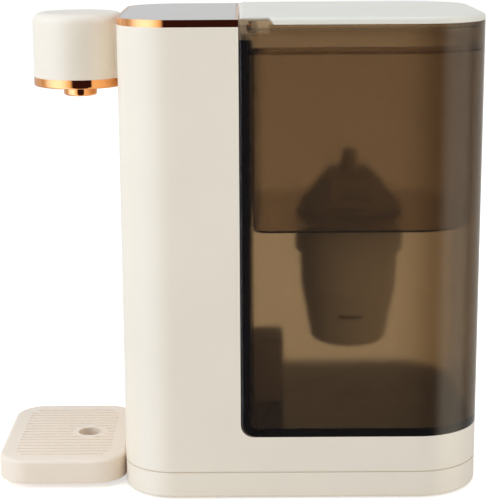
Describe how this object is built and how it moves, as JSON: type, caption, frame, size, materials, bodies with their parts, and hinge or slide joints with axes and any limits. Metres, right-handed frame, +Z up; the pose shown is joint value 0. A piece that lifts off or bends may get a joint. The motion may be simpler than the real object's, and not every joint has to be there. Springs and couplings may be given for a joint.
{
  "type": "instant hot water dispenser",
  "caption": "Countertop instant hot water dispenser with a cream column, a round spout, a drip tray and a smoke-brown lift-off water tank with an inner filter",
  "frame": {"origin": "centre of the footprint's bounding box on the table, under the feet and the drip tray", "axes": "+X is the pictured side, on the right when facing the spout; -Y is the front with spout and tray; +Z is up"},
  "size_m": [0.155, 0.3098, 0.302],
  "materials": {
    "cream_plastic": "satin",
    "tray_plastic": "satin",
    "lid_plastic": "satin",
    "white_plastic": "matte",
    "brown_plastic": "matte",
    "dark_plastic": "matte",
    "rose_metal": "polished",
    "panel_glass": "gloss",
    "smoke_tank": "gloss",
    "smoke_hopper": "gloss",
    "clear_plastic": "gloss",
    "grey_rubber": "matte",
    "clear_silicone": "satin",
    "screw_steel": "satin",
    "heater_steel": "satin",
    "board_green": "matte",
    "carbon_black": "matte"
  },
  "bodies": {
    "machine": {"base_pan": "cream_plastic", "feet": "grey_rubber", "housing_shell": "cream_plastic", "base_screws": "screw_steel", "cord_bushing": "grey_rubber", "top_trim": "rose_metal", "touch_panel": "panel_glass", "panel_carrier": "white_plastic", "touch_board": "board_green", "spout_head": "cream_plastic", "spout_ring": "rose_metal", "nozzle": "rose_metal", "nozzle_insert": "clear_silicone", "spout_screws": "screw_steel", "outlet_tube": "clear_silicone", "heater_tube": "heater_steel", "heater_lower_cap": "dark_plastic", "heater_upper_cap": "dark_plastic", "heater_clamps": "heater_steel", "thermal_cutout": "dark_plastic", "pump_head": "dark_plastic", "pump_motor": "heater_steel", "pump_cradle": "grey_rubber", "pressure_hose": "clear_silicone", "feed_hose": "clear_silicone", "power_board": "board_green", "dock_socket": "dark_plastic", "dock_seal": "clear_silicone"},
    "tank": {"tank_shell": "smoke_tank", "valve_housing": "brown_plastic", "outlet_seal": "clear_silicone", "valve_spring": "screw_steel"},
    "valve": {"valve_poppet": "white_plastic"},
    "hopper": {"hopper": "smoke_hopper", "filter_holder": "white_plastic"},
    "cartridge": {"cartridge_shell": "white_plastic", "cartridge_cap": "white_plastic", "cartridge_media": "carbon_black", "cartridge_seal": "clear_silicone"},
    "lid": {"tank_lid": "lid_plastic", "lid_liner": "clear_plastic", "lid_seal": "clear_silicone"},
    "tray": {"tray_basin": "tray_plastic"},
    "cover": {"tray_cover": "tray_plastic"}
  },
  "joints": [
    {"name": "tank_lift", "type": "slide", "parent": "machine", "child": "tank", "axis": [0, 0, 1], "range_m": [0, 0.08]},
    {"name": "valve_lift", "type": "slide", "parent": "tank", "child": "valve", "axis": [0, 0, 1], "range_m": [-0.004, 0], "deforming": ["valve_spring"]},
    {"name": "hopper_lift", "type": "slide", "parent": "tank", "child": "hopper", "axis": [0, 0, 1], "range_m": [0, 0.23]},
    {"name": "lid_lift", "type": "slide", "parent": "hopper", "child": "lid", "axis": [0, 0, 1], "range_m": [0, 0.06]},
    {"name": "cartridge_lift", "type": "slide", "parent": "hopper", "child": "cartridge", "axis": [0, 0, 1], "range_m": [0, 0.08]},
    {"name": "tray_slide", "type": "slide", "parent": "machine", "child": "tray", "axis": [0, -1, 0], "range_m": [0, 0.03]},
    {"name": "cover_lift", "type": "slide", "parent": "tray", "child": "cover", "axis": [0, 0, 1], "range_m": [0, 0.03]}
  ],
  "couplings": [
    {"joint": "valve_lift", "follows": "tank_lift", "ratio": -0.05}
  ]
}
